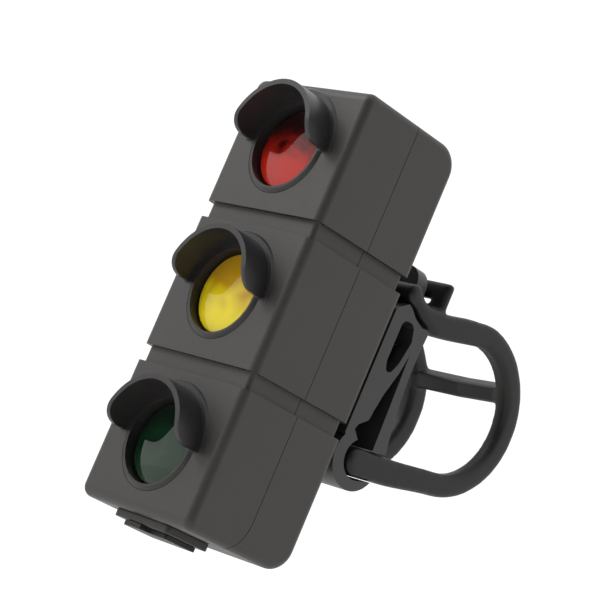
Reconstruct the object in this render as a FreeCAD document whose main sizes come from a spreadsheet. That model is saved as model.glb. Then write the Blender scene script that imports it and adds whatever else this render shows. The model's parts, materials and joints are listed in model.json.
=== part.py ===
import FreeCAD, Part
import math
import os
import re

# A small three-lamp light, shaped like a road signal, that straps to a bar.
# Millimetres. X to the right seen from the front, Y to the back, Z up.
# The origin is the middle of the bracket's bar seat, level with the swivel screw.

V = FreeCAD.Vector
doc = FreeCAD.newDocument("bar_signal_light")

SIZES = {
    # housing: each module is as tall as its lamp plus a rim above and below
    "housing_width": 25.0,
    "housing_depth": 21.0,
    "wall": 1.6,
    "rim_low": 3.15,
    "rim_middle": 2.85,
    "rim_high": 2.7,
    "groove_width": 2.6,
    "groove_depth": 0.8,
    "groove_corner": 0.8,
    "front_corner": 1.6,
    "back_corner": 3.8,
    "side_edge": 1.3,
    "cavity_corner": 0.2,
    "parting_depth": 11.0,
    "parting_sweep": 6.6,
    "parting_rise": 5.1,
    "seam_gap": 0.08,
    "gasket_width": 0.7,
    "gasket_depth": 0.8,
    "gasket_corner": 1.0,
    # clearances: between fixed pieces, round moving ones, and in a thread
    "fit": 0.05,
    "slide_fit": 0.15,
    "thread_fit": 0.02,
    # lamps
    "opening_radius": 6.5,
    "bezel_wall": 0.9,
    "neck_depth": 2.4,
    "lip_width": 0.55,
    "visor_gap": 0.15,
    "visor_wall": 0.8,
    "visor_length": 5.0,
    "visor_corner": 3.0,
    "flange_width": 0.95,
    "flange_height": 0.35,
    "flange_bevel": 0.3,
    "lens_gap": 0.25,
    "lens_recess": 0.75,
    "lens_flange": 0.75,
    "lens_slack": 0.1,
    "lens_dome": 0.35,
    "lens_bevel": 0.3,
    "cup_step": 0.2,
    "cup_lip": 0.4,
    "cup_depth": 4.9,
    "cup_floor": 2.6,
    "cup_wall": 0.7,
    "web_height": 1.0,
    "led_size": 3.5,
    "led_base": 0.95,
    "led_height": 1.6,
    "led_root": 1.4,
    "led_tip": 0.9,
    # electronics
    "board_gap": 0.9,
    "board_foot": 0.2,
    "board_head": 4.4,
    "board_thickness": 1.0,
    "board_notch": 8.4,
    "notch_gap": 0.3,
    "cell_width": 18.0,
    "cell_thickness": 4.4,
    "cell_length": 38.0,
    "cell_gap": 0.3,
    "cell_headroom": 4.3,
    "lead_radius": 0.45,
    "lead_place": 2.5,
    "lead_rise": 2.5,
    "chip_width": 5.0,
    "chip_length": 4.0,
    "chip_height": 1.6,
    "chip_place": 10.0,
    "socket_width": 7.5,
    "socket_height": 2.6,
    "socket_length": 4.6,
    "socket_inset": 0.3,
    "socket_wall": 0.3,
    "contact_width": 3.8,
    "contact_height": 0.6,
    # button and its switch
    "button_radius": 2.6,
    "button_travel": 0.6,
    "button_proud": 0.3,
    "button_taper": 0.5,
    "button_flange": 0.9,
    "button_brim": 1.0,
    "brim_gap": 0.2,
    "switch_gap": 0.5,
    "switch_width": 6.0,
    "switch_height": 3.4,
    "switch_reach": 1.75,
    "plunger_radius": 1.2,
    "plunger_height": 0.6,
    # charging port and its cover
    "port_width": 12.3,
    "port_depth": 8.6,
    "port_corner": 0.8,
    "port_plate": 1.15,
    "port_centre": 6.8,
    "port_hole_width": 8.7,
    "port_hole_depth": 4.2,
    "mouth_depth": 3.2,
    "cover_width": 9.8,
    "cover_depth": 6.2,
    "cover_thickness": 0.7,
    "cover_corner": 0.6,
    "hinge_corner": 0.3,
    "plug_depth": 2.4,
    "plug_height": 0.7,
    "lug_place": 0.85,
    "lug_width": 3.5,
    "lug_reach": 1.6,
    # fasteners
    "screw_inset": 6.0,
    "screw_side": 2.9,
    "screw_radius": 1.0,
    "screw_start": 6.0,
    "screw_head": 1.75,
    "screw_head_height": 1.3,
    "screw_sink": 2.6,
    "post_wall": 0.85,
    "cross_depth": 0.6,
    "cross_width": 0.4,
    "rib_place": 6.5,
    "rib_width": 1.2,
    "rib_inset": 5.0,
    "pivot_radius": 1.25,
    "pivot_head": 2.6,
    "pivot_head_height": 1.5,
    "pivot_wall": 2.0,
    "boss_radius": 6.0,
    "boss_height": 0.9,
    "washer_thickness": 0.65,
    "washer_inset": 0.5,
    # bracket
    "pivot_height": 33.0,
    "bracket_half": 10.5,
    "bracket_depth": 7.95,
    "plate_thickness": 1.95,
    "web_thickness": 2.2,
    "brace_place": 5.0,
    "brace_width": 1.4,
    "brace_half": 6.0,
    "hook_radius": 4.8,
    "hook_bore": 3.1,
    "hook_overhang": 0.45,
    "hook_drop": 12.8,
    "driver_gap": 0.6,
    "arm_softness": 1.0,
    "window_softness": 1.2,
    "tongue_half": 7.8,
    "tongue_thickness": 2.2,
    "tongue_height": 6.6,
    "tongue_corner": 3.0,
    # strap
    "strap_half": 10.6,
    "rail_width": 2.3,
    "rail_thickness": 3.2,
    "loop_radius": 12.0,
    "loop_reach": 12.4,
    "loop_rise": 0.85,
    "rod_radius": 2.0,
    "rung_radius": 1.4,
    "rung_inset": 0.5,
    "slat_inset": 0.3,
    "fin_height": 4.9,
    "fin_thickness": 1.1,
    "bend_softness": 4.0,
    "neck_softness": 0.8,
    "root_length": 4.6,
    "slot_width": 14.8,
    "slot_height": 1.1,
    "slot_rise": 1.3,
}

sheet = doc.addObject("Spreadsheet::Sheet", "Sizes")
for row, (alias, value) in enumerate(SIZES.items(), 1):
    sheet.set(f"A{row}", alias)
    sheet.set(f"B{row}", str(value))
    sheet.setAlias(f"B{row}", alias)
doc.recompute()


class Sizes:
    """The sheet's cells as plain numbers, for outlines and places."""


s = Sizes()
for alias in SIZES:
    setattr(s, alias, float(sheet.get(alias)))

# Sizes made of others, as text for the sheet's expressions
BEZEL = "(opening_radius + bezel_wall)"
HOOD_BORE = f"({BEZEL} + visor_gap)"
HOOD = f"({HOOD_BORE} + visor_wall)"
FLANGE = f"({HOOD} + flange_width)"
CUP = "(opening_radius - cup_step)"
BOARD_WIDTH = "(housing_width - 2 * wall - 2 * board_gap)"
INNER_WIDTH = "(housing_width - 2 * wall)"

# Places that follow from the sizes, along Y
over = 1.0                      # how far a cutting tool runs past what it cuts
pivot_gap = s.boss_height + s.washer_thickness + 2 * s.fit
plate_front = -s.bracket_depth
plate_back = plate_front + s.plate_thickness
back_y = plate_front - pivot_gap
face_y = back_y - s.housing_depth
parting_y = face_y + s.parting_depth
bezel_radius = s.opening_radius + s.bezel_wall
lens_back = face_y + s.neck_depth + s.fit + s.lens_flange
cup_front = lens_back + s.fit
board_front = cup_front + s.cup_depth + s.fit
board_back = board_front + s.board_thickness
cell_front = board_back + s.chip_height + s.cell_gap
cell_back = cell_front + s.cell_thickness
inner_back = back_y - s.wall
port_y = face_y + s.port_centre
button_y = parting_y + s.button_radius + s.button_travel

# and along Z and X
base_z = -s.pivot_height
module_low = 2 * (bezel_radius + s.rim_low)
module_middle = 2 * (bezel_radius + s.rim_middle)
module_high = 2 * (bezel_radius + s.rim_high)
groove_low = base_z + module_low
groove_high = groove_low + s.groove_width + module_middle
top_z = groove_high + s.groove_width + module_high
lamp_heights = {
    "green": base_z + module_low / 2,
    "yellow": groove_low + s.groove_width + module_middle / 2,
    "red": top_z - module_high / 2,
}
switch_top = top_z - s.wall - s.button_flange - s.button_travel - s.switch_gap
switch_low = switch_top - s.plunger_height - s.switch_height
cell_high = switch_low - s.cell_headroom
cell_low = cell_high - s.cell_length
screw_x = s.housing_width / 2 - s.screw_side
screw_places = [(side * screw_x, z) for side in (-1, 1)
                for z in (base_z + s.screw_inset, top_z - s.screw_inset)]


# ---------------------------------------------------------------- helpers
def bind(item, prop, text):
    """Bind a property to the sheet; the text names the cells by alias."""
    def cell(word):
        return "Sizes." + word.group() if word.group() in SIZES else word.group()
    item.setExpression(prop, re.sub(r"[a-z_]+", cell, text))


def box(name, corner, width, depth, height):
    item = doc.addObject("Part::Box", name)
    bind(item, "Length", width)
    bind(item, "Width", depth)
    bind(item, "Height", height)
    item.Placement.Base = V(*corner)
    return item


AXES = {"x": FreeCAD.Rotation(V(0, 1, 0), 90), "y": FreeCAD.Rotation(V(1, 0, 0), -90), "z": FreeCAD.Rotation()}


def rod(name, start, radius, length, axis="y"):
    """A cylinder that starts at a point and runs along +X, +Y or +Z."""
    item = doc.addObject("Part::Cylinder", name)
    bind(item, "Radius", radius)
    bind(item, "Height", length)
    item.Placement = FreeCAD.Placement(V(*start), AXES[axis])
    return item


def cone(name, start, radius_start, radius_end, length, axis="y"):
    item = doc.addObject("Part::Cone", name)
    bind(item, "Radius1", radius_start)
    bind(item, "Radius2", radius_end)
    bind(item, "Height", length)
    item.Placement = FreeCAD.Placement(V(*start), AXES[axis])
    return item


def fuse(name, *items):
    item = doc.addObject("Part::MultiFuse", name)
    item.Shapes = list(items)
    return item


def cut(name, base, *tools):
    item = doc.addObject("Part::Cut", name)
    item.Base = base
    item.Tool = tools[0] if len(tools) == 1 else fuse(name + "_tools", *tools)
    return item


def common(name, base, tool):
    item = doc.addObject("Part::Common", name)
    item.Base = base
    item.Tool = tool
    return item


def group(name, *items):
    """Separate solids of one kind, kept together as one node."""
    item = doc.addObject("Part::Compound", name)
    item.Links = list(items)
    return item


def new_body(name):
    return doc.addObject("PartDesign::Body", name)


def sketch(body, plane, edges, offset=0.0):
    """A closed outline on one of the body's own planes."""
    item = body.newObject("Sketcher::SketchObject", body.Name + "_sketch")
    item.AttachmentSupport = [(next(f for f in body.Origin.OriginFeatures if f.Role == plane), "")]
    item.MapMode = "FlatFace"
    item.AttachmentOffset = FreeCAD.Placement(V(0, 0, offset), FreeCAD.Rotation())
    for edge in edges:
        item.addGeometry(edge, False)
    return item


def feature(body, kind, profile, length, both=True):
    """A pad or pocket of a sketch; both sides of its plane unless told."""
    item = body.newObject("PartDesign::" + kind, body.Name + "_" + kind.lower())
    item.Profile = profile
    item.SideType = "Symmetric" if both else "One side"
    bind(item, "Length", length)
    return item


def prism(name, outline, width):
    """A body padded to both sides of its middle from a side outline in Y and Z."""
    body = new_body(name)
    feature(body, "Pad", sketch(body, "YZ_Plane", outline), width)
    return body


def plate(name, outline, low, height):
    """A body padded upwards from a height, from an outline in X and Y."""
    body = new_body(name)
    feature(body, "Pad", sketch(body, "XY_Plane", outline, low), height, both=False)
    return body


def polyline(*points):
    corners = [V(a, b, 0) for a, b in points]
    return [Part.LineSegment(p, q) for p, q in zip(corners, corners[1:])]


def polygon(*points):
    return polyline(*points, points[0])


def bent(points, radius):
    """An open run of straight lines with rounded corners, as far as the sides allow."""
    path = [V(a, b, 0) for a, b in points]
    edges = []
    start = path[0]
    for before, corner, after in zip(path, path[1:], path[2:]):
        one = before - corner
        two = after - corner
        half = one.getAngle(two) / 2
        back = min(radius / math.tan(half), 0.45 * one.Length, 0.45 * two.Length)
        leave = corner + one.normalize() * back
        join = corner + two.normalize() * back
        to_middle = back / math.cos(half) - back * math.tan(half)
        middle = corner + (one + two).normalize() * to_middle
        edges += [Part.LineSegment(start, leave), Part.Arc(leave, middle, join)]
        start = join
    return edges + [Part.LineSegment(start, path[-1])]


def soft_polygon(radius, *points):
    """A polygon with rounded corners, drawn from the middle of its last side."""
    (a0, b0), (a1, b1) = points[0], points[-1]
    middle = ((a0 + a1) / 2, (b0 + b1) / 2)
    return bent([middle, *points, middle], radius)


def circle(a, b, radius):
    return [Part.Circle(V(a, b, 0), V(0, 0, 1), radius)]


def on_circle(a, b, radius, degrees):
    turn = math.radians(degrees)
    return a + radius * math.cos(turn), b + radius * math.sin(turn)


def arc(a, b, radius, first, last):
    """An arc about (a, b) from one angle to another, through their middle."""
    return Part.Arc(*(V(*on_circle(a, b, radius, turn), 0) for turn in (first, (first + last) / 2, last)))


def rounded(a0, a1, b0, b1, near, far):
    """A rectangle whose corners at a0 have radius near and at a1 radius far."""
    corners = [(a1 - far, b1 - far, far, 0), (a0 + near, b1 - near, near, 90),
               (a0 + near, b0 + near, near, 180), (a1 - far, b0 + far, far, 270)]
    arcs = [arc(a, b, r, turn, turn + 90) for a, b, r, turn in corners]
    lines = [Part.LineSegment(p.EndPoint, q.StartPoint) for p, q in zip(arcs, arcs[1:] + arcs[:1])]
    return [edge for pair in zip(arcs, lines) for edge in pair]


def cross(name, x, y, z, reach):
    """The tool that cuts a cross recess into a screw's head."""
    half = s.cross_width / 2
    level = box(name + "_level", (x - reach / 2, y, z - half), str(reach), "2 * cross_depth", "cross_width")
    upright = box(name + "_upright", (x - half, y, z - reach / 2), "cross_width", "2 * cross_depth", str(reach))
    return fuse(name, level, upright)


nodes = []


def keep(item, name):
    item.Label = name
    nodes.append(item)
    return item


# ---------------------------------------------------------------- housing
outline = rounded(face_y, back_y, base_z, top_z, s.front_corner, s.back_corner)
outer = prism("housing_outer", outline, "housing_width")
doc.recompute()
sharp = outer.Tip
along_side = [f"Edge{i}" for i, edge in enumerate(sharp.Shape.Edges, 1) if edge.BoundBox.XLength < s.fit]
rounding = outer.newObject("PartDesign::Fillet", "housing_edges")
rounding.Base = (sharp, along_side)
bind(rounding, "Radius", "side_edge")

room = rounded(face_y + s.wall, inner_back, base_z + s.wall, top_z - s.wall, s.cavity_corner, s.back_corner - s.wall)
cavity = prism("housing_cavity", room, INNER_WIDTH)


def make_groove(name, height):
    """A ring cut all round the housing between two modules."""
    half = s.housing_width / 2
    deep = s.groove_depth
    ring = polygon((-half - over, face_y - over), (half + over, face_y - over),
                   (half + over, back_y + over), (-half - over, back_y + over))
    core = rounded(-half + deep, half - deep, face_y + deep, back_y - deep, s.groove_corner, s.groove_corner)
    return plate(name, ring + core, height, "groove_width")


grooves = [make_groove("groove_cut_low", groove_low), make_groove("groove_cut_high", groove_high)]
posts = []
for index, (x, z) in enumerate(screw_places):
    posts.append(rod(f"front_post_{index}", (x, face_y + s.wall / 2, z), "screw_radius * 2",
                     "parting_depth - wall / 2"))
    posts.append(rod(f"rear_post_{index}", (x, parting_y, z), "screw_head + post_wall",
                     "housing_depth - parting_depth - wall / 2"))

shell = cut("housing_shell", fuse("housing_and_posts", cut("housing_hollow", outer, cavity), *posts), *grooves)


def front_region(name, shift):
    """Everything in front of the parting surface, which sweeps forward under the base."""
    edge_y = parting_y + shift
    past = 5 * over
    low = math.degrees(math.asin(min(s.parting_rise / s.parting_sweep, 1)))
    sweep = arc(edge_y - s.parting_sweep, base_z + s.parting_rise, s.parting_sweep, -low, 0)
    start, end = sweep.StartPoint, sweep.EndPoint
    rest = polyline((end.x, end.y), (end.x, top_z + past), (face_y - past, top_z + past),
                    (face_y - past, base_z - past), (start.x, base_z - past), (start.x, start.y))
    return prism(name, [sweep] + rest, "housing_width + 10")


ahead = front_region("front_region", 0)
ahead_of_seam = front_region("front_region_seam", s.seam_gap)
ahead_of_gasket = front_region("front_region_gasket", -s.gasket_depth)

lens_holes = [rod(f"lens_hole_{name}", (0, face_y - over, z), f"{BEZEL} + fit", "2 * wall")
              for name, z in lamp_heights.items()]
port_hole = box("port_hole", (-s.port_hole_width / 2, port_y - s.port_hole_depth / 2, base_z - over),
                "port_hole_width", "port_hole_depth", "wall + 2")
button_hole = rod("button_hole", (0, button_y, top_z - s.wall - over), "button_radius + slide_fit", "wall + 2",
                  "z")

seal_z = s.wall - s.gasket_width
seal_line = rounded(face_y, back_y, base_z + seal_z, top_z - seal_z, s.gasket_corner, s.gasket_corner)
gasket_outer = prism("gasket_outer", seal_line, f"{INNER_WIDTH} + 2 * gasket_width")
gasket_band = common("gasket_band", cut("gasket_ring", gasket_outer, cavity), ahead)
gasket = keep(cut("gasket", gasket_band, ahead_of_gasket), "shell_gasket")

front_pilots = [rod(f"pilot_{i}", (x, face_y + s.screw_start - over / 2, z), "screw_radius + thread_fit",
                    "parting_depth") for i, (x, z) in enumerate(screw_places)]
front_blank = common("front_blank", shell, ahead)
keep(cut("front", front_blank, gasket, port_hole, button_hole, *lens_holes, *front_pilots), "front_shell")

head_floor = back_y - s.screw_sink
rear_bores = [rod(f"screw_bore_{i}", (x, parting_y - over, z), "screw_radius + slide_fit", "housing_depth")
              for i, (x, z) in enumerate(screw_places)]
rear_sinks = [rod(f"screw_sink_{i}", (x, head_floor, z), "screw_head + slide_fit", "screw_sink + 1")
              for i, (x, z) in enumerate(screw_places)]
pivot_boss = rod("pivot_boss", (0, inner_back, 0), "boss_radius", "boss_height + wall")
pivot_start = cell_back + 2 * s.fit
pivot_inner = rod("pivot_inner", (0, pivot_start, 0), "pivot_radius + pivot_wall",
                  f"{inner_back + s.wall / 2 - pivot_start}")
pivot_pilot = rod("pivot_pilot", (0, pivot_start + s.cell_gap, 0), "pivot_radius + thread_fit", "housing_depth")
ribs = [box(f"cell_rib_{i}", (x - s.rib_width / 2, cell_back + s.fit, cell_low + s.rib_inset), "rib_width",
            f"{inner_back + s.wall / 2 - cell_back - s.fit}", "cell_length - 2 * rib_inset")
        for i, x in enumerate((-s.rib_place, s.rib_place))]
rear_blank = fuse("rear_blank", cut("rear_half", shell, ahead_of_seam), pivot_boss, pivot_inner, *ribs)
keep(cut("rear", rear_blank, pivot_pilot, button_hole, port_hole, *rear_bores, *rear_sinks), "rear_shell")


# ---------------------------------------------------------------- lamps
def make_visor(name, z):
    """A pressed-in bezel with a half-round hood above the lens."""
    neck = rod(name + "_neck", (0, face_y, z), BEZEL, "neck_depth")
    lip = cone(name + "_lip", (0, face_y - s.flange_height, z), f"{BEZEL} - lip_width", BEZEL, "flange_height")
    flange = cone(name + "_flange", (0, face_y - s.flange_height, z), f"{FLANGE} - flange_bevel", FLANGE,
                  "flange_height")
    bore = rod(name + "_bore", (0, face_y - s.flange_height - over, z), "opening_radius", "neck_depth + 3")
    hood = rod(name + "_hood", (0, face_y - s.visor_length, z), HOOD, "visor_length")
    hollow = rod(name + "_hollow", (0, face_y - s.visor_length - over, z), HOOD_BORE,
                 "visor_length + 1 - thread_fit")
    round_y = face_y - s.visor_length + s.visor_corner
    clear_z = z + bezel_radius + s.visor_gap + s.visor_wall + s.flange_width + over
    side = arc(round_y, z + s.visor_corner, s.visor_corner, 180, 270)
    first, last = side.StartPoint, side.EndPoint
    ends = polyline((last.x, last.y), (face_y, z), (face_y, clear_z), (first.x, clear_z), (first.x, first.y))
    above = prism(name + "_above", [side] + ends, f"2 * {FLANGE} + 2")
    upper = common(name + "_upper", fuse(name + "_hood_flange", cut(name + "_tube", hood, hollow), flange), above)
    return cut(name + "_solid", fuse(name + "_all", neck, lip, upper), bore)


def make_lens(name, z):
    """A clear cap with a slightly domed face, held behind the bezel by its flange."""
    body = new_body(name + "_body")
    front = face_y + s.lens_recess
    edge_front = front + s.lens_dome
    edge_back = edge_front + s.lens_bevel
    flange_front = face_y + s.neck_depth + s.fit
    radius = s.opening_radius - s.lens_gap
    face_radius = radius - s.lens_bevel
    flange_radius = bezel_radius - s.lens_slack
    face = Part.Arc(V(0, front, 0), V(face_radius / 2, front + s.lens_dome / 4, 0), V(face_radius, edge_front, 0))
    rest = polyline((face_radius, edge_front), (radius, edge_back), (radius, flange_front),
                    (flange_radius, flange_front), (flange_radius, lens_back), (0, lens_back), (0, front))
    profile = sketch(body, "XY_Plane", [face] + rest)
    spin = body.newObject("PartDesign::Revolution", name + "_turn")
    spin.Profile = profile
    spin.ReferenceAxis = (profile, ["V_Axis"])
    spin.Angle = 360
    body.Placement.Base = V(0, 0, z)
    return body


def make_led(name, z):
    """A square package with a round dome that faces the lens."""
    half = s.led_size / 2
    base = box(name + "_base", (-half, board_front - s.led_base, z - half), "led_size", "led_base", "led_size")
    dome = cone(name + "_dome", (0, board_front - s.led_height, z), "led_tip", "led_root",
                "led_height - led_base / 2")
    return fuse(name + "_solid", base, dome)


for colour, z in lamp_heights.items():
    keep(make_visor("visor_" + colour, z), "visor_" + colour)
    keep(make_lens("lens_" + colour, z), "lens_" + colour)
    keep(make_led("led_" + colour, z), "led_" + colour)

board_x = s.housing_width / 2 - s.wall - s.board_gap
web_low = base_z + s.board_notch
web = box("frame_web", (-board_x, cup_front, web_low), BOARD_WIDTH, "web_height",
          f"{top_z - s.board_notch - web_low}")
cups = [cone(f"cup_{name}", (0, cup_front, z), f"{CUP} + cup_wall + cup_lip", "cup_floor + cup_wall", "cup_depth")
        for name, z in lamp_heights.items()]
hollows = [cone(f"cup_hollow_{name}", (0, cup_front, z), CUP, "cup_floor", "cup_depth")
           for name, z in lamp_heights.items()]
keep(cut("cups", fuse("cup_block", web, *cups), *hollows), "reflector_frame")

# ---------------------------------------------------------------- electronics
board_low = base_z + s.wall + s.board_foot
board_high = top_z - s.wall - s.board_head
notch_x = screw_x - s.screw_radius * 2 - s.notch_gap
notch_width = s.housing_width / 2
board_blank = box("board_blank", (-board_x, board_front, board_low), BOARD_WIDTH, "board_thickness",
                  f"{board_high - board_low}")
notch_places = [(x, z) for x in (notch_x, -notch_x - notch_width) for z in (base_z, top_z - s.board_notch)]
notches = [box(f"board_notch_{index}", (x, board_front - over, z), str(notch_width), "board_thickness + 2",
               "board_notch") for index, (x, z) in enumerate(notch_places)]
keep(cut("board", board_blank, *notches), "circuit_board")
keep(box("chip", (-s.chip_width / 2, board_back, cell_low + s.chip_place), "chip_width", "chip_height",
         "chip_length"), "control_chip")

socket_y = board_front - s.fit - s.socket_height
socket_low = base_z + s.socket_inset
socket_can = box("socket_can", (-s.socket_width / 2, socket_y, socket_low), "socket_width", "socket_height",
                 "socket_length")
socket_room = box("socket_room", (-s.socket_width / 2 + s.socket_wall, socket_y + s.socket_wall, socket_low - over),
                  "socket_width - 2 * socket_wall", "socket_height - 2 * socket_wall",
                  "socket_length + 1 - socket_wall")
contact = box("socket_contact", (-s.contact_width / 2, socket_y + (s.socket_height - s.contact_height) / 2,
                                 socket_low + 2 * s.socket_wall), "contact_width", "contact_height",
              "socket_length - 2 * socket_wall")
keep(fuse("socket", cut("socket_shell", socket_can, socket_room), contact), "usb_socket")

cell_edge = s.cell_thickness / 2 - 2 * s.fit
cell_outline = rounded(-s.cell_width / 2, s.cell_width / 2, cell_front, cell_back, cell_edge, cell_edge)
keep(plate("cell_body", cell_outline, cell_low, "cell_length"), "battery_cell")


def lead(name, x):
    """A short wire from the top of the cell over to the back of the board."""
    start_y = (cell_front + cell_back) / 2
    bend = (start_y - board_back) / 2 - s.cell_gap / 2
    over_z = cell_high + s.lead_rise
    share = math.sin(math.pi / 4)
    up = V(x, start_y, cell_high)
    turn_in = V(x, start_y, over_z - bend)
    turn_mid = V(x, start_y - bend * (1 - share), over_z - bend * (1 - share))
    turn_out = V(x, start_y - bend, over_z)
    end = V(x, board_back, over_z)
    path = Part.Wire([Part.LineSegment(up, turn_in).toShape(), Part.Arc(turn_in, turn_mid, turn_out).toShape(),
                      Part.LineSegment(turn_out, end).toShape()])
    ring = Part.Wire([Part.Circle(up, V(0, 0, 1), s.lead_radius).toShape()])
    item = doc.addObject("Part::Feature", name)
    item.Shape = path.makePipeShell([ring], True, True)
    return item


keep(group("leads", lead("lead_plus", -s.lead_place), lead("lead_minus", s.lead_place)), "battery_leads")

# ---------------------------------------------------------------- button
brim_low = switch_top + s.switch_gap + s.button_travel
switch = box("switch_box", (-s.switch_width / 2, board_back + s.fit, switch_low), "switch_width",
             f"{button_y + s.switch_reach - board_back - s.fit}", "switch_height")
plunger = rod("switch_plunger", (0, button_y, switch_low + s.switch_height - s.fit), "plunger_radius",
              "plunger_height + fit", "z")
keep(fuse("switch", switch, plunger), "tactile_switch")
cap = rod("button_cap", (0, button_y, brim_low), "button_radius", f"{top_z - brim_low}", "z")
crown = cone("button_crown", (0, button_y, top_z), "button_radius", "button_radius - button_taper",
             "button_proud", "z")
brim = rod("button_brim", (0, button_y, brim_low - s.brim_gap), "button_radius + button_brim", "button_flange",
           "z")
keep(fuse("button", cap, crown, brim), "power_button")

# ---------------------------------------------------------------- charging port
plate_y = port_y - s.port_depth / 2
port_low = base_z - s.port_plate
port_outline = rounded(-s.port_width / 2, s.port_width / 2, plate_y, plate_y + s.port_depth, s.port_corner,
                       s.port_corner)
port_blank = plate("port_plate_body", port_outline, port_low, "port_plate")
mouth = box("port_mouth", (-s.socket_width / 2 - 2 * s.fit, port_y - s.mouth_depth / 2, port_low - over),
            "socket_width + 4 * fit", "mouth_depth", "port_plate + 2")
keep(cut("port", port_blank, mouth), "port_bezel")

cover_top = port_low - s.fit
cover_low = cover_top - s.cover_thickness
cover_y = port_y - s.cover_depth / 2
cover_outline = rounded(-s.cover_width / 2, s.cover_width / 2, cover_y, cover_y + s.cover_depth, s.cover_corner,
                        s.hinge_corner)
cover_blank = plate("cover_body", cover_outline, cover_low, "cover_thickness")
plug = box("cover_plug", (-s.socket_width / 2 + s.socket_wall, port_y - s.plug_depth / 2, cover_top - s.fit),
           "socket_width - 2 * socket_wall", "plug_depth", "plug_height + fit")
lug = box("cover_lug", (-s.lug_width / 2 - s.lug_place, cover_y - s.lug_reach, cover_low), "lug_width",
          "lug_reach + cover_corner", "cover_thickness")
keep(fuse("cover", cover_blank, plug, lug), "port_cover")

# ---------------------------------------------------------------- fasteners
screws = []
for index, (x, z) in enumerate(screw_places):
    name = f"housing_screw_{index}"
    shank_y = face_y + s.screw_start
    shank = rod(name + "_shank", (x, shank_y, z), "screw_radius", f"{head_floor + s.cross_depth - shank_y}")
    head = rod(name + "_head", (x, head_floor + s.thread_fit, z), "screw_head", "screw_head_height")
    recess = cross(name + "_cross", x, head_floor + s.screw_head_height - s.cross_depth, z, 2 * s.screw_radius)
    screws.append(cut(name, fuse(name + "_blank", shank, head), recess))
keep(group("screws", *screws), "housing_screws")

washer_y = back_y + s.boss_height + s.fit
washer_disc = rod("washer_disc", (0, washer_y, 0), "boss_radius - washer_inset", "washer_thickness")
washer_bore = rod("washer_bore", (0, washer_y - over, 0), "pivot_radius + 2 * slide_fit", "washer_thickness + 2")
keep(cut("washer", washer_disc, washer_bore), "friction_washer")

shank_start = pivot_start + 2 * s.cell_gap
shank_length = plate_back + s.cross_depth - shank_start
pivot_shank = rod("pivot_shank", (0, shank_start, 0), "pivot_radius", str(shank_length))
pivot_disc = rod("pivot_head_disc", (0, plate_back + s.fit, 0), "pivot_head", "pivot_head_height")
pivot_cross = cross("pivot_cross", 0, plate_back + s.pivot_head_height - s.cross_depth, 0, 2 * s.pivot_radius)
keep(cut("pivot", fuse("pivot_blank", pivot_shank, pivot_disc), pivot_cross), "pivot_screw")

# ---------------------------------------------------------------- bracket
# Side outlines in Y and Z, measured from the middle of the bar seat
FULL = "2 * bracket_half"
PAST = FULL + " + 2"
seat_top, seat_low = (0.2, 9.1), (1.6, -10.25)
pad_top, pad_low = (-1.9, 8.6), (-1.3, -10.6)
tongue_root = (-5.8, 11.2)
shoulder = (-3.5, 9.8)
arm_edge = [tongue_root, (-4.9, 10.8), shoulder, (-2.1, 9.1), (-1.7, 8.1), (-1.7, 4.9), (-2.4, 1.3),
            (-3.6, -2.4), (-4.2, -5.3), (-4.4, -6.9), (-6.0, -8.1), (-6.5, -9.2)]
arm_top, arm_low = 9.7, -11.0
window = [(-5.7, 8.8), (-3.3, 8.9), (-2.4, 6.4), (-3.2, 2.6), (-4.1, 0.8), (-5.1, 0.7), (-5.7, 2.1)]
hook_mouth = [(-3.1, -12.7), (-2.4, -15.75), (2.4, -14.5), (2.4, -7.9), (-5.7, -7.9), (-6.4, -9.0),
              (-5.0, -10.2)]
room_top, room_low, room_back = 5.5, -9.0, pad_top[0] - s.thread_fit
bore_shift = (0.5, 0.1)

hook_y = plate_front + s.hook_radius - s.hook_overhang
hook_z = -s.hook_drop
bracket = prism("bracket_body", soft_polygon(s.arm_softness, (plate_front, arm_top), *arm_edge,
                                             (plate_front, arm_low)), FULL)


def shape(kind, outline, width):
    feature(bracket, kind, sketch(bracket, "YZ_Plane", outline), width)


shape("Pad", circle(hook_y, hook_z, s.hook_radius), FULL)
shape("Pocket", circle(hook_y + bore_shift[0], hook_z + bore_shift[1], s.hook_bore), PAST)
shape("Pocket", polygon(*hook_mouth), PAST)
seat_arc = Part.Arc(V(*seat_top, 0), V(0, 0, 0), V(*seat_low, 0))
shape("Pad", [seat_arc] + polyline(seat_low, pad_low, pad_top, seat_top), FULL)
shape("Pad", polygon((plate_front + over, room_top), (-over, room_top), (-over, pad_top[1] + s.slide_fit),
                     shoulder, tongue_root, (plate_front + over, arm_top)), FULL)
shape("Pocket", polygon((plate_back, room_top), (room_back, room_top), (room_back, room_low),
                        (plate_back, room_low)), f"{FULL} - 2 * web_thickness")
shape("Pocket", soft_polygon(s.window_softness, *window), PAST)

tongue_y = -3.4
tongue_low = 8.0
tongue_top = tongue_root[1] + s.tongue_height
corner_x = s.tongue_half - s.tongue_corner
corner_z = tongue_top - s.tongue_corner
tongue = new_body("tongue_body")
tongue_outline = [arc(corner_x, corner_z, s.tongue_corner, 0, 90),
                  *polyline((corner_x, tongue_top), (-corner_x, tongue_top)),
                  arc(-corner_x, corner_z, s.tongue_corner, 90, 180),
                  *polyline((-s.tongue_half, corner_z), (-s.tongue_half, tongue_low), (s.tongue_half, tongue_low),
                            (s.tongue_half, corner_z))]
feature(tongue, "Pad", sketch(tongue, "XZ_Plane", tongue_outline, -tongue_y - s.tongue_thickness),
        "tongue_thickness", both=False)
brace_start = plate_back - 4 * s.fit
braces = [box(f"brace_{i}", (x - s.brace_width / 2, brace_start, -s.brace_half), "brace_width",
              f"{room_back + 8 * s.fit - brace_start}", "2 * brace_half")
          for i, x in enumerate((-s.brace_place, s.brace_place))]
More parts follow.
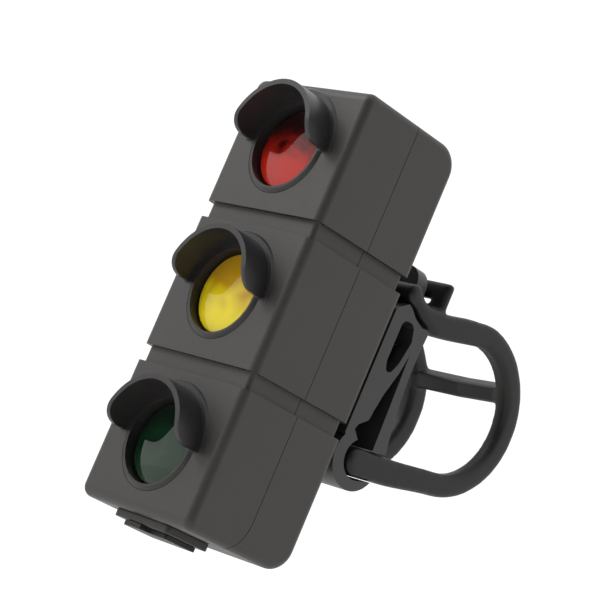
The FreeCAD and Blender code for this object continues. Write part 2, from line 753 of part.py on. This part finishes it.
driver_hole = rod("driver_hole", (0, plate_back + s.thread_fit, 0), "pivot_head + driver_gap", "bracket_depth * 2")
pivot_bore = rod("pivot_bore", (0, plate_front - over, 0), "pivot_radius + fit", "plate_thickness + 2")
keep(cut("bracket_solid", fuse("bracket_all", bracket, tongue, *braces), driver_hole, pivot_bore), "bracket")

# ---------------------------------------------------------------- strap
# Side places in Y and Z: the rod that snaps into the hook, the rungs, and the bends of the rails
loop = (s.loop_reach, s.loop_rise)
rail_in = s.loop_radius - s.rail_thickness / 2
rail_out = s.loop_radius + s.rail_thickness / 2
strap_rod = (hook_y + 0.45, hook_z - 0.4)
rung_end = (-5.1, 12.9)
rung_behind = (1.6, 10.9)
behind_radius = 1.6
low_turn = -84
upper_bends = [(7.5, 13.9), (2.2, 12.7), (-2.9, 12.5)]
lower_bends = [(-4.2, 11.4), (-2.6, 10.5), (1.5, 9.1), (7.0, 10.2)]
rail = [arc(*loop, rail_out, low_turn, 90),
        *bent([on_circle(*loop, rail_out, 90), *upper_bends, (rung_end[0], rung_end[1] + s.rung_radius)],
              s.bend_softness),
        arc(*rung_end, s.rung_radius, 90, 270),
        *bent([(rung_end[0], rung_end[1] - s.rung_radius), *lower_bends, on_circle(*loop, rail_in, 90)],
              s.neck_softness),
        arc(*loop, rail_in, 90, low_turn),
        *polyline(on_circle(*loop, rail_in, low_turn), (strap_rod[0], strap_rod[1] + s.rod_radius)),
        arc(*strap_rod, s.rod_radius, 90, 270),
        *polyline((strap_rod[0], strap_rod[1] - s.rod_radius), on_circle(*loop, rail_out, low_turn))]
strap = prism("strap_body", rail, "2 * strap_half")
reach = s.loop_reach + 3 * rail_out
root_y = strap_rod[0] + s.root_length
gap = polygon((root_y, -reach), (reach, -reach), (reach, reach), (-reach, reach), (-reach, 0), (root_y, 0))
feature(strap, "Pocket", sketch(strap, "YZ_Plane", gap), "2 * strap_half - 2 * rail_width")

RUNG = "2 * strap_half - 2 * rung_inset"
rung_x = -s.strap_half + s.rung_inset
rod_inset = s.strap_half - s.bracket_half + s.rung_inset
rod_half = s.strap_half - rod_inset
rungs = [rod("strap_rod", (-rod_half, *strap_rod), "rod_radius", str(2 * rod_half), "x"),
         rod("strap_rung_end", (rung_x, *rung_end), "rung_radius", RUNG, "x"),
         rod("strap_rung_behind", (rung_x, *rung_behind), str(behind_radius), RUNG, "x")]
slat_first, slat_last = 25, 37
slat_out = rail_out - s.slat_inset
slat_in = rail_in + s.slat_inset
slat = prism("strap_slat", [
    arc(*loop, slat_out, slat_first, slat_last),
    *polyline(on_circle(*loop, slat_out, slat_last), on_circle(*loop, slat_in, slat_last)),
    arc(*loop, slat_in, slat_last, slat_first),
    *polyline(on_circle(*loop, slat_in, slat_first), on_circle(*loop, slat_out, slat_first))], RUNG)
fin_y, fin_z = 0.9, 12.3
fin = box("strap_fin", (rung_x, fin_y, fin_z), RUNG, "fin_thickness", "fin_height")
fin_slot = box("fin_slot", (-s.slot_width / 2, fin_y - over, fin_z + s.slot_rise), "slot_width",
               "fin_thickness + 2", "slot_height")
keep(fuse("strap_solid", strap, *rungs, slat, cut("fin_plate", fin, fin_slot)), "mount_strap")

# ---------------------------------------------------------------- checks and export
doc.recompute()
for item in doc.Objects:
    if "Invalid" in item.State or "Error" in item.State:
        raise RuntimeError(f"{item.Name} failed: {item.State}")
for item in nodes:
    if item.Shape.isNull() or not item.Shape.isValid():
        raise RuntimeError(f"{item.Label} has no valid shape")
os.makedirs("parts", exist_ok=True)
for item in nodes:
    item.Shape.exportStep(os.path.join("parts", item.Label + ".step"))
    bounds = item.Shape.BoundBox
    print(f"{item.Label:18s} solids {len(item.Shape.Solids)} volume {item.Shape.Volume:9.1f}"
          f"  X {bounds.XMin:6.2f} {bounds.XMax:6.2f}  Y {bounds.YMin:6.2f} {bounds.YMax:6.2f}"
          f"  Z {bounds.ZMin:6.2f} {bounds.ZMax:6.2f}")
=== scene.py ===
import json
import math

import bmesh
import bpy
from mathutils import Matrix, Vector


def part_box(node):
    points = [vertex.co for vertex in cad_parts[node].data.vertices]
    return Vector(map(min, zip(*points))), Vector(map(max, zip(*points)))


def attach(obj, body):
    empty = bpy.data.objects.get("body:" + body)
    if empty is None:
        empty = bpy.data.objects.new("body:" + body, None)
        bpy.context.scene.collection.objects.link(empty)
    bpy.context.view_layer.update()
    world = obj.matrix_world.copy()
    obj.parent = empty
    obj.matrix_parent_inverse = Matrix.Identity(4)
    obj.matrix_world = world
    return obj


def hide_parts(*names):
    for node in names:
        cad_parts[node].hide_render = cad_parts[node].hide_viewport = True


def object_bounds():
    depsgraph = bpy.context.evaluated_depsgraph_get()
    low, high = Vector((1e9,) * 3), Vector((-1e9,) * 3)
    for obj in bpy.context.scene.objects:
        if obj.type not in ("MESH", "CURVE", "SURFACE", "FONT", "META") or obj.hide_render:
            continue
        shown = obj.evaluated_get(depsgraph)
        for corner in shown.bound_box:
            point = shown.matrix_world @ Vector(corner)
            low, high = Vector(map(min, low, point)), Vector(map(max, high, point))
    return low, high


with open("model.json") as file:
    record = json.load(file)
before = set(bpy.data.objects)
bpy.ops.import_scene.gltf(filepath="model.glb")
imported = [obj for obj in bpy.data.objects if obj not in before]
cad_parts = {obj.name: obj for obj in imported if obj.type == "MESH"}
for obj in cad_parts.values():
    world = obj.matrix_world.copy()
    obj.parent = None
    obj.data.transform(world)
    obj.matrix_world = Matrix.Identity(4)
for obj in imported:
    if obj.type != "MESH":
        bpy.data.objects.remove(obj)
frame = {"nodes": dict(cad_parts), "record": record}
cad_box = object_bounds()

MM = 0.001
record = frame["record"]
slot_of = {part["node"]: part["material_slot"] for part in record["subparts"]}
body_of = {node: body for body, nodes in record["behaviour"]["bodies"].items() for node in nodes}
COLOURS = ("red", "yellow", "green")


# ------------------------------------------------------------------ colour and nodes
def linear(code):
    """An sRGB hex colour as linear RGBA."""
    def channel(pair):
        value = int(pair, 16) / 255
        return value / 12.92 if value <= 0.04045 else ((value + 0.055) / 1.055) ** 2.4
    return tuple(channel(code[i:i + 2]) for i in (1, 3, 5)) + (1.0,)


def add_node(tree, kind, settings=None, links=None):
    """A node with its settings and links: sockets by name or number, attributes in lower case."""
    node = tree.nodes.new(kind)
    for key, value in (settings or {}).items():
        if isinstance(key, str) and key.islower() and hasattr(node, key):
            setattr(node, key, value)
        else:
            node.inputs[key].default_value = value
    for key, source in (links or {}).items():
        tree.links.new(source, node.inputs[key])
    return node


def new_material(name):
    """An empty material, its node tree, and the surface's own coordinates counted in millimetres."""
    material = bpy.data.materials.new(name)
    material.use_nodes = True
    tree = material.node_tree
    tree.nodes.clear()
    coords = add_node(tree, "ShaderNodeTexCoord")
    place = add_node(tree, "ShaderNodeVectorMath", {"operation": "SCALE", "Scale": 1 / MM},
                     {0: coords.outputs["Object"]})
    return material, tree, place.outputs["Vector"]


def finish_material(material, tree, shader):
    add_node(tree, "ShaderNodeOutputMaterial", links={"Surface": shader.outputs[0]})
    return material


# ------------------------------------------------------------------ finishes
def grained_abs():
    """ABS moulded black against a spark-eroded tool.

    Its fine pebbled grain breaks the shine into a soft grey haze.
    """
    material, tree, place = new_material("spark_eroded_abs")
    flow_mm, grain_mm, pit_mm, grain_depth_mm = 9, 0.28, 0.35, 0.009
    flow = add_node(tree, "ShaderNodeTexNoise", {"Scale": 1 / flow_mm, "Detail": 3.0}, {"Vector": place})
    colour = add_node(tree, "ShaderNodeMix",
                      {"data_type": "RGBA", 6: linear("#2a2725"), 7: linear("#322f2d")},
                      {"Factor": flow.outputs["Fac"]})
    grain = add_node(tree, "ShaderNodeTexNoise", {"Scale": 1 / grain_mm, "Detail": 3.0, "Roughness": 0.6},
                     {"Vector": place})
    pits = add_node(tree, "ShaderNodeTexVoronoi", {"Scale": 1 / pit_mm}, {"Vector": place})
    height = add_node(tree, "ShaderNodeMath", {"operation": "ADD"},
                      {0: grain.outputs["Fac"], 1: pits.outputs["Distance"]})
    rough = add_node(tree, "ShaderNodeMapRange", {"To Min": 0.42, "To Max": 0.56},
                     {"Value": grain.outputs["Fac"]})
    bump = add_node(tree, "ShaderNodeBump", {"Strength": 1.0, "Distance": grain_depth_mm * MM},
                    {"Height": height.outputs[0]})
    shader = add_node(tree, "ShaderNodeBsdfPrincipled", {"IOR": 1.53},
                      {"Base Color": colour.outputs[2], "Roughness": rough.outputs[0],
                       "Normal": bump.outputs[0]})
    return finish_material(material, tree, shader)


def satin_plastic(name, low, high, ior, roughness):
    """Plastic moulded in a fine-blasted tool: smooth enough for long soft highlights along its edges."""
    material, tree, place = new_material(name)
    flow_mm, blast_mm, blast_depth_mm = 5, 0.3, 0.004
    flow = add_node(tree, "ShaderNodeTexNoise", {"Scale": 1 / flow_mm, "Detail": 3.0}, {"Vector": place})
    colour = add_node(tree, "ShaderNodeMix", {"data_type": "RGBA", 6: linear(low), 7: linear(high)},
                      {"Factor": flow.outputs["Fac"]})
    blast = add_node(tree, "ShaderNodeTexNoise", {"Scale": 1 / blast_mm, "Detail": 2.0}, {"Vector": place})
    rough = add_node(tree, "ShaderNodeMapRange", {"To Min": roughness - 0.04, "To Max": roughness + 0.06},
                     {"Value": blast.outputs["Fac"]})
    bump = add_node(tree, "ShaderNodeBump", {"Strength": 1.0, "Distance": blast_depth_mm * MM},
                    {"Height": blast.outputs["Fac"]})
    shader = add_node(tree, "ShaderNodeBsdfPrincipled", {"IOR": ior},
                      {"Base Color": colour.outputs[2], "Roughness": rough.outputs[0],
                       "Normal": bump.outputs[0]})
    return finish_material(material, tree, shader)


def moulded_silicone(name, low, high, roughness):
    """Silicone rubber pressed in a mould: a matt, faintly dusty black with a soft sheen at its rims."""
    material, tree, place = new_material(name)
    dust_mm, skin_mm, skin_depth_mm = 2.5, 0.5, 0.008
    dust = add_node(tree, "ShaderNodeTexNoise", {"Scale": 1 / dust_mm, "Detail": 5.0, "Roughness": 0.6},
                    {"Vector": place})
    colour = add_node(tree, "ShaderNodeMix", {"data_type": "RGBA", 6: linear(low), 7: linear(high)},
                      {"Factor": dust.outputs["Fac"]})
    skin = add_node(tree, "ShaderNodeTexNoise", {"Scale": 1 / skin_mm, "Detail": 3.0}, {"Vector": place})
    rough = add_node(tree, "ShaderNodeMapRange", {"To Min": roughness - 0.06, "To Max": roughness + 0.08},
                     {"Value": dust.outputs["Fac"]})
    bump = add_node(tree, "ShaderNodeBump", {"Strength": 1.0, "Distance": skin_depth_mm * MM},
                    {"Height": skin.outputs["Fac"]})
    shader = add_node(tree, "ShaderNodeBsdfPrincipled",
                      {"IOR": 1.41, "Sheen Weight": 0.04, "Sheen Roughness": 0.4,
                       "Sheen Tint": linear("#b0b0b0")},
                      {"Base Color": colour.outputs[2], "Roughness": rough.outputs[0],
                       "Normal": bump.outputs[0]})
    return finish_material(material, tree, shader)


def dyed_acrylic_with_painted_shade(colour, unshaded_tint, painted_hood_shade, clearness):
    """Dyed acrylic, polished on the mould: glassy, with a slow swirl where the melt met itself.

    Its colour is graded from the pale tint low down to a deep painted shade up under its hood, where a lamp
    that is off looks darkest. That darkening is painted shade: it stands in for the hood's shade and the dark
    bowl behind the lens, and the swirl only wavers its edge.
    """
    material, tree, place = new_material("dyed_acrylic_with_painted_shade_" + colour)
    swirl_mm, swirl_share = 4, 0.5
    low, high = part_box("lens_" + colour)
    swirl = add_node(tree, "ShaderNodeTexNoise", {"Scale": 1 / swirl_mm, "Detail": 1.0, "Distortion": 0.8},
                     {"Vector": place})
    # painted shade: the lens is darkened from its bottom towards its top, where its hood shades it
    apart = add_node(tree, "ShaderNodeSeparateXYZ", links={"Vector": place})
    height = add_node(tree, "ShaderNodeMapRange", {"From Min": low[2] / MM, "From Max": high[2] / MM},
                      {"Value": apart.outputs["Z"]})
    uneven = add_node(tree, "ShaderNodeMath", {"operation": "MULTIPLY_ADD", 1: swirl_share},
                      {0: swirl.outputs["Fac"], 2: height.outputs[0]})
    # painted shade share: how far up the lens the hood's shade is painted, its edge wavered by the swirl
    depth = add_node(tree, "ShaderNodeMapRange",
                     {"interpolation_type": "SMOOTHSTEP", "From Min": 0.52, "From Max": 0.95},
                     {"Value": uneven.outputs[0]})
    # the pale tint mixed towards a deep painted hood shade by that share
    tint_and_painted_shade = add_node(tree, "ShaderNodeMix", {"data_type": "RGBA", 6: linear(unshaded_tint), 7: linear(painted_hood_shade)},
                   {"Factor": depth.outputs[0]})
    shader = add_node(tree, "ShaderNodeBsdfPrincipled",
                      {"IOR": 1.49, "Roughness": 0.02, "Transmission Weight": clearness},
                      {"Base Color": tint_and_painted_shade.outputs[2]})
    return finish_material(material, tree, shader)


def bare_metal(name, low, high, roughness):
    """Metal left bare, barrelled or rolled: a broken, streaky shine over an even colour."""
    material, tree, place = new_material(name)
    wear_mm = 1.2
    wear = add_node(tree, "ShaderNodeTexNoise", {"Scale": 1 / wear_mm, "Detail": 4.0, "Roughness": 0.6},
                    {"Vector": place})
    colour = add_node(tree, "ShaderNodeMix", {"data_type": "RGBA", 6: linear(low), 7: linear(high)},
                      {"Factor": wear.outputs["Fac"]})
    rough = add_node(tree, "ShaderNodeMapRange", {"To Min": roughness - 0.06, "To Max": roughness + 0.08},
                     {"Value": wear.outputs["Fac"]})
    shader = add_node(tree, "ShaderNodeBsdfPrincipled", {"Metallic": 1.0},
                      {"Base Color": colour.outputs[2], "Roughness": rough.outputs[0]})
    return finish_material(material, tree, shader)


def metallised_plastic():
    """Plastic with aluminium evaporated on it in a vacuum: a soft mirror that throws light forward."""
    material, tree, place = new_material("vacuum_metallised_plastic")
    haze_mm = 1.5
    haze = add_node(tree, "ShaderNodeTexNoise", {"Scale": 1 / haze_mm, "Detail": 2.0}, {"Vector": place})
    rough = add_node(tree, "ShaderNodeMapRange", {"To Min": 0.14, "To Max": 0.22},
                     {"Value": haze.outputs["Fac"]})
    shader = add_node(tree, "ShaderNodeBsdfPrincipled", {"Metallic": 1.0, "Base Color": linear("#f4f4f2")},
                      {"Roughness": rough.outputs[0]})
    return finish_material(material, tree, shader)


finishes = {
    "housing_plastic": grained_abs(),
    "visor_plastic": satin_plastic("fine_blasted_abs", "#242222", "#2a2828", 1.45, 0.36),
    "bracket_plastic": satin_plastic("glass_filled_nylon", "#262525", "#2e2d2c", 1.53, 0.42),
    "strap_rubber": moulded_silicone("stretchy_silicone", "#141313", "#1b1a1a", 0.45),
    "seal_rubber": moulded_silicone("sealing_silicone", "#181717", "#201f1f", 0.5),
    # each lens's second colour is its painted hood shade, laid over its upper part
    "lens_red": dyed_acrylic_with_painted_shade("red", "#ff3822", "#300206", 0.55),
    "lens_yellow": dyed_acrylic_with_painted_shade("yellow", "#ffe81c", "#c8981a", 0.15),
    "lens_green": dyed_acrylic_with_painted_shade("green", "#3c7850", "#1c4830", 0.85),
    "white_plastic": metallised_plastic(),
    "led_package": satin_plastic("phosphor_resin", "#f0e8b0", "#f4eec0", 1.53, 0.2),
    "board_laminate": satin_plastic("solder_masked_laminate", "#14502c", "#185832", 1.5, 0.3),
    "chip_epoxy": satin_plastic("moulded_epoxy", "#1c1c1c", "#222222", 1.55, 0.6),
    "steel": bare_metal("zinc_plated_steel", "#b4b4b2", "#c4c4c0", 0.3),
    "cell_foil": bare_metal("laminated_pouch_foil", "#c4c4c2", "#d0d0ce", 0.35),
    "lead_jacket": satin_plastic("extruded_pvc", "#8a1812", "#901c16", 1.52, 0.4),
    "washer_nylon": satin_plastic("natural_nylon", "#d8d4c8", "#dedace", 1.53, 0.5),
}
for node, thing in frame["nodes"].items():
    thing.data.materials.clear()
    thing.data.materials.append(finishes[slot_of[node]])


# ------------------------------------------------------------------ pieces
def new_piece(name, node, shape):
    """Hand a finished mesh to the frame in place of a node."""
    mesh = bpy.data.meshes.new(name)
    shape.to_mesh(mesh)
    shape.free()
    piece = bpy.data.objects.new(name, mesh)
    bpy.context.collection.objects.link(piece)
    mesh.materials.append(finishes[slot_of[node]])
    for face in mesh.polygons:
        face.use_smooth = True
    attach(piece, body_of[node])
    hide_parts(node)
    return piece


def own_shape(node):
    """The node's surface with its doubled corners joined."""
    shape = bmesh.new()
    shape.from_mesh(frame["nodes"][node].data)
    bmesh.ops.remove_doubles(shape, verts=shape.verts, dist=0.002 * MM)
    return shape


def apply_modifiers(piece):
    """Keep what the modifiers make as the piece's own mesh."""
    graph = bpy.context.evaluated_depsgraph_get()
    made = bpy.data.meshes.new_from_object(piece.evaluated_get(graph), preserve_all_data_layers=True,
                                           depsgraph=graph)
    piece.modifiers.clear()
    piece.data = made


def soften_edges(node, radius_mm):
    """The node's own shape with every sharp corner rounded off, as it leaves its mould."""
    shape = own_shape(node)
    bmesh.ops.dissolve_limit(shape, angle_limit=math.radians(0.5), verts=shape.verts, edges=shape.edges)
    piece = new_piece(node + "_moulding", node, shape)
    bevel = piece.modifiers.new("rounded", "BEVEL")
    bevel.width = radius_mm * MM
    bevel.segments = 3
    bevel.limit_method = "ANGLE"
    bevel.angle_limit = math.radians(32)
    bevel.face_strength_mode = "FSTR_AFFECTED"
    weigh = piece.modifiers.new("flat_faces", "WEIGHTED_NORMAL")
    weigh.mode = "FACE_AREA"
    weigh.use_face_influence = True
    apply_modifiers(piece)
    return piece


def mould_in_rubber(node, grid_mm, smoothing, swell_mm):
    """The node's shape re-skinned on a fine grid and relaxed, so that every corner is a soft fillet.

    It is then swollen by about what the relaxing took off.
    """
    piece = new_piece(node + "_rubber", node, own_shape(node))
    skin = piece.modifiers.new("skin", "REMESH")
    skin.mode = "VOXEL"
    skin.voxel_size = grid_mm * MM
    skin.use_smooth_shade = True
    relax = piece.modifiers.new("relax", "SMOOTH")
    relax.factor = 0.5
    relax.iterations = smoothing
    swell = piece.modifiers.new("swell", "DISPLACE")
    swell.strength = swell_mm * MM
    swell.mid_level = 0.0
    apply_modifiers(piece)
    return piece


def turned(name, node, profile, segments=96):
    """A solid of revolution about the node's own middle, from (radius, depth) pairs back from its front."""
    low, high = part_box(node)
    centre = Vector(((low[0] + high[0]) / 2, low[1], (low[2] + high[2]) / 2))
    shape = bmesh.new()
    rings = []
    for radius, depth in profile:
        if radius == 0:
            rings.append([shape.verts.new(centre + Vector((0, depth * MM, 0)))])
            continue
        turns = [2 * math.pi * step / segments for step in range(segments)]
        spots = [Vector((radius * math.cos(turn), depth, radius * math.sin(turn))) for turn in turns]
        rings.append([shape.verts.new(centre + spot * MM) for spot in spots])
    for one, two in zip(rings, rings[1:]):
        for step in range(segments):
            corners = [one[step % len(one)], one[(step + 1) % len(one)],
                       two[(step + 1) % len(two)], two[step % len(two)]]
            shape.faces.new(list(dict.fromkeys(corners)))
    bmesh.ops.recalc_face_normals(shape, faces=shape.faces)
    return new_piece(name, node, shape)


def make_lens(colour):
    """A domed cap with a rounded shoulder, a straight side and the flange that the bezel holds."""
    node = "lens_" + colour
    low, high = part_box(node)
    depth = (high[1] - low[1]) / MM
    flange_radius = (high[0] - low[0]) / 2 / MM
    radius, dome, shoulder, flange_thickness = 6.25, 0.35, 0.3, 0.75
    dome_steps, shoulder_steps = 8, 6
    flange_depth = depth - flange_thickness
    face_radius = radius - shoulder
    shares = [step / dome_steps for step in range(dome_steps + 1)]
    front = [(face_radius * share, dome * share ** 2) for share in shares]
    turns = [math.pi / 2 * step / shoulder_steps for step in range(1, shoulder_steps + 1)]
    edge = [(face_radius + shoulder * math.sin(turn), dome + shoulder * (1 - math.cos(turn))) for turn in turns]
    back = [(radius, flange_depth), (flange_radius, flange_depth), (flange_radius, depth), (0, depth)]
    return turned(node + "_cap", node, front + edge + back)


def smooth_step(value):
    value = min(max(value, 0.0), 1.0)
    return value * value * (3 - 2 * value)


def lean_strap(piece):
    """The loop leans and winds a little: its right side sits higher and further back.

    Its rod stays in the hook, and its outermost reach stays the frame's.
    """
    lean, wind = 0.06, 0.17
    clear, settled = 3.0 * MM, 12 * MM
    for vertex in piece.data.vertices:
        spot = vertex.co
        share = smooth_step((spot.y - clear) / settled)
        spot.z += lean * spot.x * share
        spot.y += wind * min(spot.x, 0) * share
    fit = cad_box[1][1] / max(vertex.co.y for vertex in piece.data.vertices)
    for vertex in piece.data.vertices:
        vertex.co.y *= fit


corner_radii_mm = {"front_shell": 0.25, "rear_shell": 0.25, "bracket": 0.22, "port_bezel": 0.15,
                   "visor_red": 0.14, "visor_yellow": 0.14, "visor_green": 0.14, "shell_gasket": 0.06,
                   "power_button": 0.18}
for node, radius_mm in corner_radii_mm.items():
    soften_edges(node, radius_mm)
for colour in COLOURS:
    make_lens(colour)
lean_strap(mould_in_rubber("mount_strap", grid_mm=0.28, smoothing=24, swell_mm=0.22))
mould_in_rubber("port_cover", grid_mm=0.1, smoothing=3, swell_mm=0.0)

# ------------------------------------------------------------------ stage, light and camera
world = bpy.data.worlds.new("white_tent")
bpy.context.scene.world = world
world.use_nodes = True
tree = world.node_tree
tree.nodes.clear()
# A white tent all round, dim in its doorway at the front right, where no lamp stands.
# The camera sees it plain white everywhere. Only the light that the doorway throws on the object is dimmer.
doorway = Vector((0.72, -0.68, -0.12)).normalized()
around = add_node(tree, "ShaderNodeTexCoord")
facing = add_node(tree, "ShaderNodeVectorMath", {"operation": "DOT_PRODUCT", 1: doorway},
                  {0: around.outputs["Generated"]})
dim = add_node(tree, "ShaderNodeMapRange",
               {"interpolation_type": "SMOOTHSTEP", "From Min": 0.35, "From Max": 0.88,
                "To Min": 1.08, "To Max": 0.03},
               {"Value": facing.outputs["Value"]})
seen = add_node(tree, "ShaderNodeLightPath")
strength = add_node(tree, "ShaderNodeMath", {"operation": "MAXIMUM"},
                    {0: dim.outputs[0], 1: seen.outputs["Is Camera Ray"]})
backdrop = add_node(tree, "ShaderNodeBackground", {"Color": (1, 1, 1, 1)}, {"Strength": strength.outputs[0]})
add_node(tree, "ShaderNodeOutputWorld", links={"Surface": backdrop.outputs[0]})
bpy.context.scene.view_settings.view_transform = "Standard"


def aimed(data, place, target):
    """A lamp or camera at a place, looking at a target."""
    item = bpy.data.objects.new(data.name, data)
    bpy.context.collection.objects.link(item)
    direction = Vector(target) - Vector(place)
    item.matrix_world = Matrix.Translation(place) @ direction.to_track_quat("-Z", "Y").to_matrix().to_4x4()
    return item


def softbox(name, watts, size, place):
    data = bpy.data.lights.new(name, "AREA")
    data.energy = watts
    data.size = size
    aimed(data, place, (0, 0, 0))


softbox("key_softbox", 2.2, 0.4, (-0.45, -0.55, 0.45))

camera_data = bpy.data.cameras.new("camera")
camera_data.lens = 141.1
camera_data.sensor_width = 36.0
camera_data.clip_start = 0.01
aim = Vector((-7.44, -10.06, 7.06)) * MM
azimuth, elevation, roll = math.radians(48.25), math.radians(9.22), math.radians(23.07)
distance = 355.5 * MM
level = math.cos(elevation)
forward = Vector((-math.sin(azimuth) * level, math.cos(azimuth) * level, math.sin(elevation)))
camera = aimed(camera_data, aim - forward * distance, aim)
camera.matrix_world = camera.matrix_world @ Matrix.Rotation(roll, 4, "Z")
bpy.context.scene.camera = camera

floor_half, floor_z = 3.0, -0.1
floor_mesh = bpy.data.meshes.new("floor")
corners = ((-1, -1), (1, -1), (1, 1), (-1, 1))
floor_mesh.from_pydata([(x * floor_half, y * floor_half, floor_z) for x, y in corners], [], [(0, 1, 2, 3)])
floor = bpy.data.objects.new("floor", floor_mesh)
bpy.context.collection.objects.link(floor)
floor_mesh.materials.append(satin_plastic("white_paper_floor", "#f4f4f2", "#f8f8f6", 1.45, 0.6))
